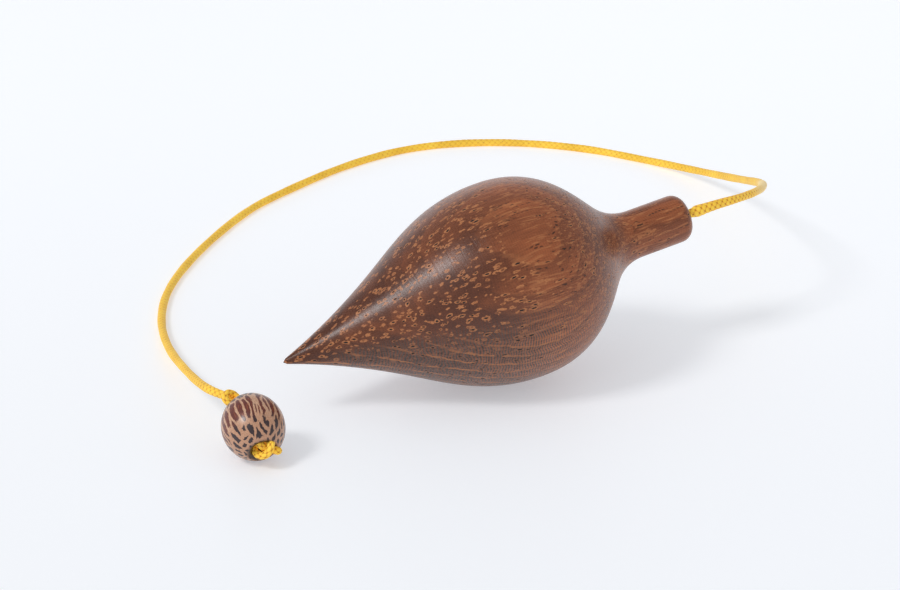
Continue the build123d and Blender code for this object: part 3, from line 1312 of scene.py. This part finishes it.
@dataclass
class OverhandKnot:
    """An overhand knot drawn tight between two seats.

    A loose overhand loop is laid through the knot's centre and then shortened step by step. The
    line keeps its spacing, stays a rope's width from itself and resists sharp bends.
    """

    centre: Array
    entry: Array
    leave: Array
    entry_way: Array
    leave_way: Array
    rope: float
    rope_length: float
    spin: float
    shift: Array
    count: int = 150
    steps: int = 900
    spacing_rounds: int = 6
    loose: float = 1.9
    drawn_by: float = 0.7
    least_pull: float = 0.02
    stiffness: float = 0.35
    push_back: float = 0.25
    neighbour_reach: float = 1.6
    least_gap: float = 1e-9

    def loose_line(self) -> Array:
        """Open overhand loop through the centre, turned so that its ends point at the seats.

        In its own frame x = t^3 - 3t, y = t^4 / 1.6 - 2.5t^2 + 1.2 and z = (t^5 - 10t) / 9, for
        t from -2.05 to 2.05.

        Returns:
            Its points, shape (count, 3).
        """
        t = np.linspace(-2.05, 2.05, self.count)
        shape = np.stack([t**3 - 3 * t, t**4 / 1.6 - 2.5 * t**2 + 1.2, (t**5 - 10 * t) / 9], axis=1)
        shape *= self.loose * self.rope / 2.2
        chord = unit(shape[-1] - shape[0])
        first, second = across(chord)
        local = np.stack([shape @ chord, shape @ first, shape @ second], axis=1)
        way = unit(self.leave - self.entry)
        side, top = across(way)
        turned_side = math.cos(self.spin) * side + math.sin(self.spin) * top
        turned_top = np.cross(way, turned_side)
        placed = local[:, :1] * way + local[:, 1:2] * turned_side + local[:, 2:] * turned_top
        return placed + self.centre

    def line(self) -> Array:
        """Tighten the loose line step by step, then shift its middle sideways.

        Returns:
            Its points, from the entry to the leaving seat.
        """
        points = self.loose_line()
        index = np.arange(self.count)
        start_length = np.linalg.norm(np.diff(points, axis=0), axis=1).sum()
        for step in range(self.steps):
            share = min(1.0, step / (self.drawn_by * self.steps))
            length = start_length + (self.rope_length - start_length) * share
            gap = length / (self.count - 1)
            pull = max(smoothstep(0.0, 0.5, np.array(share)), self.least_pull)
            points[0] += (self.entry - points[0]) * pull
            points[-1] += (self.leave - points[-1]) * pull
            points[1] += (points[0] - self.entry_way * gap - points[1]) / 2
            points[-2] += (points[-1] - self.leave_way * gap - points[-2]) / 2
            for _ in range(self.spacing_rounds):
                self._keep_spacing(points, gap)
            points = self._keep_apart(points, index, gap)
            middle = (points[:-2] + points[2:]) / 2
            points[1:-1] += (middle - points[1:-1]) * self.stiffness
        share = np.linspace(0.0, 1.0, self.count)
        middle_part = smoothstep(0.02, 0.25, share) * smoothstep(0.98, 0.75, share)
        return points + middle_part[:, None] * self.shift

    @staticmethod
    def _keep_spacing(points: Array, gap: float) -> None:
        """Move even and then odd pairs of neighbours to their spacing.

        Args:
            points: The line, which is changed.
            gap: Distance between neighbours.
        """
        for start in (0, 1):
            after = points[start + 1::2]
            before = points[start:-1:2][: len(after)]
            offset = after - before
            size = np.linalg.norm(offset, axis=1, keepdims=True)
            shift = offset * (0.5 * (size - gap) / size)
            before += shift
            after -= shift

    def _keep_apart(self, points: Array, index: Array, gap: float) -> Array:
        """Push apart points that are nearer than a rope's width and not neighbours on it.

        Args:
            points: The line.
            index: Number of each point.
            gap: Distance between neighbours.

        Returns:
            The line after the push.
        """
        offset = points[:, None] - points[None, :]
        size = np.linalg.norm(offset, axis=-1)
        run = np.abs(index[:, None] - index[None, :]) * gap
        apart = run > self.neighbour_reach * self.rope
        short = np.where(apart & (size < self.rope), self.rope - size, 0.0)
        push = offset / np.maximum(size, self.least_gap)[..., None] * short[..., None]
        return points + self.push_back * push.sum(axis=1)


@dataclass
class PendulumCord:
    """The cord from the bore's bottom to its cut end, with its knots.

    The route's points are in metres. It leaves the neck, comes down to the board, lies on it
    and climbs to the bead.
    """

    mouth: Array
    bob_axis: Array
    bore: Array
    braid: Braid = field(default_factory=Braid)
    route: tuple[tuple[float, float, float], ...] = (
        (0.0400, 0.0006, 0.0225),
        (0.0460, 0.0024, 0.0221),
        (0.0525, 0.0074, 0.0204),
        (0.0580, 0.0145, 0.0180),
        (0.0632, 0.0250, 0.0138),
        (0.0678, 0.0370, 0.0090),
        (0.0706, 0.0490, 0.0049),
        (0.0706, 0.0605, 0.0020),
        (0.0672, 0.0708, LAID),
        (0.0586, 0.0826, LAID),
        (0.0456, 0.0922, LAID),
        (0.0300, 0.0966, LAID),
        (0.0144, 0.0932, LAID),
        (-0.0018, 0.0852, LAID),
        (-0.0114, 0.0794, LAID),
        (-0.0256, 0.0656, LAID),
        (-0.0358, 0.0526, LAID),
        (-0.0414, 0.0402, LAID),
        (-0.0444, 0.0272, 0.0017),
        (-0.0460, 0.0140, 0.0039),
        (-0.0472, 0.0032, 0.0063),
        (-0.0464, -0.0022, 0.00715),
    )
    route_steps: int = 24
    knot_reach: float = 1.517 * MM
    knot_sunk: float = 1.0 * MM
    knot_slimness: float = 0.95
    upper_spin: float = 4.4
    upper_rope: float = 13.6 * MM
    upper_shift: tuple[float, float, float] = (-1.24, 0.41, -0.32)
    lower_spin: float = 4.6
    lower_rope: float = 13.4 * MM
    root_depth: float = 11.0 * MM
    tail_way: Array = field(default_factory=lambda: unit(np.array([0.88, -0.42, -0.12])))
    tail_length: float = 1.6 * MM

    def __post_init__(self) -> None:
        """Find the knots' centres and the seat where the free cord meets the upper knot."""
        self.upper = box_centre("upper_knot")
        self.lower = box_centre("end_knot")
        self.arrival = unit(np.array(self.route[-1]) - self.upper)
        self.seat = self.upper + self.arrival * self.knot_reach

    def centreline(self) -> Array:
        """The route's smooth line: a NURBS of order 3 through the mouth, route and seat.

        Returns:
            Its points, shape (n, 3).
        """
        points = [tuple(self.mouth), *self.route, tuple(self.seat)]
        curve = bpy.data.curves.new("route", "CURVE")
        curve.dimensions = "3D"
        spline = curve.splines.new("NURBS")
        spline.points.add(len(points) - 1)
        spline.points.foreach_set("co", np.array([(*p, 1.0) for p in points]).ravel())
        spline.order_u = 3
        spline.use_endpoint_u = True
        spline.resolution_u = self.route_steps
        guide = add_object("route", curve)
        bpy.context.view_layer.update()
        graph = bpy.context.evaluated_depsgraph_get()
        line = bpy.data.meshes.new_from_object(guide.evaluated_get(graph))
        found = mesh_points(line)
        bpy.data.objects.remove(guide)
        bpy.data.meshes.remove(line)
        return found

    def swell(self, station: Array) -> Array:
        """Girth of the free cord: opened up just outside the neck, then settling.

        The swell rises as a smooth step, falls off as exp(-distance / 3.6 mm) and carries the
        small waves of two sines.

        Args:
            station: Distances from the mouth, in metres.

        Returns:
            Shares of the braid's diameter.
        """
        opened = smoothstep(0.6 * MM, 2.6 * MM, station)
        settled = np.exp(-np.maximum(station - 2.6 * MM, 0.0) / (3.6 * MM))
        waves = 0.025 * np.sin(station * 310.0) + 0.02 * np.sin(station * 787.0 + 1.3)
        return 1.06 + 0.46 * opened * settled + waves * opened

    def opened(self, station: Array) -> Array:
        """How open the braid is: wide near the neck and the knot, and drawn tight between.

        Args:
            station: Distances from the mouth, in metres.

        Returns:
            Shares from 0, smooth, to 1, fully open.
        """
        near_neck = smoothstep(34.0 * MM, 16.0 * MM, station)
        near_knot = smoothstep(245.0 * MM, 268.0 * MM, station)
        return 0.38 + 0.52 * near_neck + 0.3 * near_knot

    def painted_highlight(self, station: Array) -> Array:
        """Share of the cord's colour that is painted pale as a highlight, round its high bend.

        Args:
            station: Distances from the mouth, in metres.

        Returns:
            Shares from 0 to 1.
        """
        rise = smoothstep(15.0 * MM, 24.0 * MM, station)
        fall = smoothstep(42.0 * MM, 31.0 * MM, station)
        return 0.75 * rise * fall

    def build(self) -> list[bpy.types.Object]:
        """Every stretch of the cord.

        Returns:
            The free cord, then the knots, the runs and the root.
        """
        path = self.centreline()
        free = BraidedRun("free_cord", path, self.braid, self.swell, self.painted_highlight, self.opened)
        cord = place_piece(free.mesh(), "cord", "cord")
        upper_shift = np.array(self.upper_shift) * MM
        upper = OverhandKnot(
            self.upper, self.seat, self.upper + self.bore * self.knot_reach, self.arrival,
            self.bore, self._rope(), self.upper_rope, self.upper_spin, upper_shift,
        )
        upper_piece = self._tie(upper, "upper_knot")
        bead_end = self.lower - self.bore * self.knot_reach
        through = self._run(upper.leave, bead_end, "cord", "bead_cord")
        sunk = self.lower - self.bore * self.knot_sunk
        lower = OverhandKnot(
            sunk, sunk - self.bore * self.knot_reach, sunk + self.tail_way * self.knot_reach,
            -self.bore, self.tail_way, self._rope(), self.lower_rope, self.lower_spin, np.zeros(3),
        )
        lower_piece = self._tie(lower, "end_knot")
        cut_end = lower.leave + self.tail_way * self.tail_length
        tail = self._run(lower.leave, cut_end, "cord", "cord_tail")
        glued_end = self.mouth - self.bob_axis * self.root_depth
        root = self._run(glued_end, self.mouth, "bob", "cord_root")
        return [cord, upper_piece, through, lower_piece, tail, root]

    def _rope(self) -> float:
        """Diameter of the cord where it is drawn tight in a knot."""
        return self.braid.diameter * self.knot_slimness

    def _run(self, start: Array, end: Array, body: str, node: str) -> bpy.types.Object:
        """A straight stretch of cord.

        Args:
            start: Its first end.
            end: Its last end.
            body: CAD body that it rides on.
            node: CAD node that it stands for.

        Returns:
            The piece.
        """
        run = BraidedRun(f"{node}_rope", np.stack([start, end]), self.braid)
        return place_piece(run.mesh(), body, node)

    def _tie(self, knot: OverhandKnot, node: str) -> bpy.types.Object:
        """A knot's rope, as slim as the knot draws it.

        Args:
            knot: The knot.
            node: CAD node that it stands for.

        Returns:
            The piece.
        """
        slim = knot.rope / self.braid.diameter
        run = BraidedRun(f"{node}_rope", knot.line(), self.braid, lambda s: np.full_like(s, slim))
        return place_piece(run.mesh(), "cord", node)

    def dress(self, pieces: list[bpy.types.Object]) -> None:
        """Give every stretch the same braid.

        Args:
            pieces: The stretches.
        """
        finish = BraidFinish().material()
        for piece in pieces:
            piece.data.materials.append(finish)


# ---------------------------------------------------------------------------------------------
# The studio
# ---------------------------------------------------------------------------------------------


class LightShape(Enum):
    """Outline of a studio lamp."""

    SQUARE = "SQUARE"
    STRIP = "RECTANGLE"


@dataclass(frozen=True)
class Lamp:
    """A soft flat lamp that faces the object, from a heading and a height in degrees."""

    name: str
    heading: float
    height: float
    distance: float
    size: tuple[float, float]
    watts: float
    shape: LightShape = LightShape.SQUARE

    def build(self, aim: Array) -> None:
        """Stand the lamp so that it faces a point.

        Args:
            aim: The point.
        """
        light = bpy.data.lights.new(self.name, "AREA")
        light.shape = self.shape.value
        light.size, light.size_y = self.size
        light.energy = self.watts
        turn, rise = math.radians(self.heading), math.radians(self.height)
        level = math.cos(rise)
        toward = np.array([math.cos(turn) * level, math.sin(turn) * level, math.sin(rise)])
        lamp = add_object(self.name, light)
        lamp.location = (aim + self.distance * toward).tolist()
        lamp.rotation_euler = Vector(toward).to_track_quat("Z", "Y").to_euler()


@dataclass
class Studio:
    """White board, soft lamps, pale surroundings and the camera."""

    heading: float = math.radians(24.5)
    elevation: float = math.radians(24.0)
    distance: float = 0.5085
    aim: tuple[float, float, float] = (0.0076, 0.0318, 0.0)
    focal_length: float = 120.0
    sensor_width: float = 36.0
    clip: Span = (0.01, 20.0)
    board_half_size: float = 2.5
    lamps: tuple[Lamp, ...] = (
        Lamp("softbox_core", 190.0, 47.0, 1.5, (0.36, 0.36), 7.4),
        Lamp("softbox_cloth", 204.0, 43.0, 1.6, (1.2, 1.2), 1.7),
        Lamp("back_wall", 75.0, 14.0, 1.2, (1.2, 0.35), 0.55, LightShape.STRIP),
    )

    def view_back(self) -> Array:
        """Direction of the camera, at the heading behind +Y and the elevation above the board.

        Returns:
            Unit vector from what the camera looks at towards the camera.
        """
        level = math.cos(self.elevation)
        x = -math.sin(self.heading) * level
        y = -math.cos(self.heading) * level
        return np.array([x, y, math.sin(self.elevation)])

    def camera(self) -> None:
        """A long lens that looks down on the board."""
        lens = bpy.data.cameras.new("camera")
        lens.lens = self.focal_length
        lens.sensor_width = self.sensor_width
        lens.clip_start, lens.clip_end = self.clip
        camera = add_object("camera", lens)
        back = Vector(self.view_back())
        camera.location = Vector(self.aim) + back * self.distance
        camera.rotation_euler = back.to_track_quat("Z", "Y").to_euler()
        bpy.context.scene.camera = camera

    def board(self) -> None:
        """The flat board that the object lies on, with its own far and right directions."""
        half = self.board_half_size
        mesh = bpy.data.meshes.new("white_board")
        corners = [(-half, -half, 0.0), (half, -half, 0.0), (half, half, 0.0), (-half, half, 0.0)]
        mesh.from_pydata(corners, [], [(0, 1, 2, 3)])
        away = unit(-self.view_back() * np.array([1.0, 1.0, 0.0]))
        right = np.cross(away, np.array([0.0, 0.0, 1.0]))
        mesh.materials.append(BoardFinish(np.array(self.aim), right, away).material())
        add_object("white_board", mesh)

    def build(self) -> None:
        """Board, lamps and surroundings."""
        self.board()
        for lamp in self.lamps:
            lamp.build(np.array(self.aim))
        bpy.context.scene.world = PaleRoom().world()
        bpy.context.scene.view_settings.view_transform = "Standard"


def report(piece: bpy.types.Object) -> None:
    """Log one finished piece with its number of faces."""
    LOG.info("%s: %d faces", piece.name, len(piece.data.polygons))


def main() -> None:
    """Build and dress the pendulum, then its studio."""
    logging.basicConfig(level=logging.INFO, format="%(message)s")
    studio = Studio()
    studio.camera()
    mouth = np.array(joint("cord_swing")["pos_m"])
    spin = joint("bead_spin")
    bore = unit(np.array(spin["axis"]))

    bob = Bob(mouth)
    cord = PendulumCord(mouth, bob.axis, bore)
    cord_pieces = cord.build()
    cord.dress(cord_pieces)
    for piece in cord_pieces:
        report(piece)
    bob_piece = bob.build()
    bob.dress(bob_piece)
    report(bob_piece)
    bead = Bead(np.array(spin["pos_m"]), bore)
    bead_piece = bead.build()
    bead.dress(bead_piece)
    report(bead_piece)
    glue = frame["nodes"]["glue_plug"]
    glue.material_slots[0].material = GlueFinish().material()
    report(glue)
    studio.build()


if __name__ == "__main__":
    main()
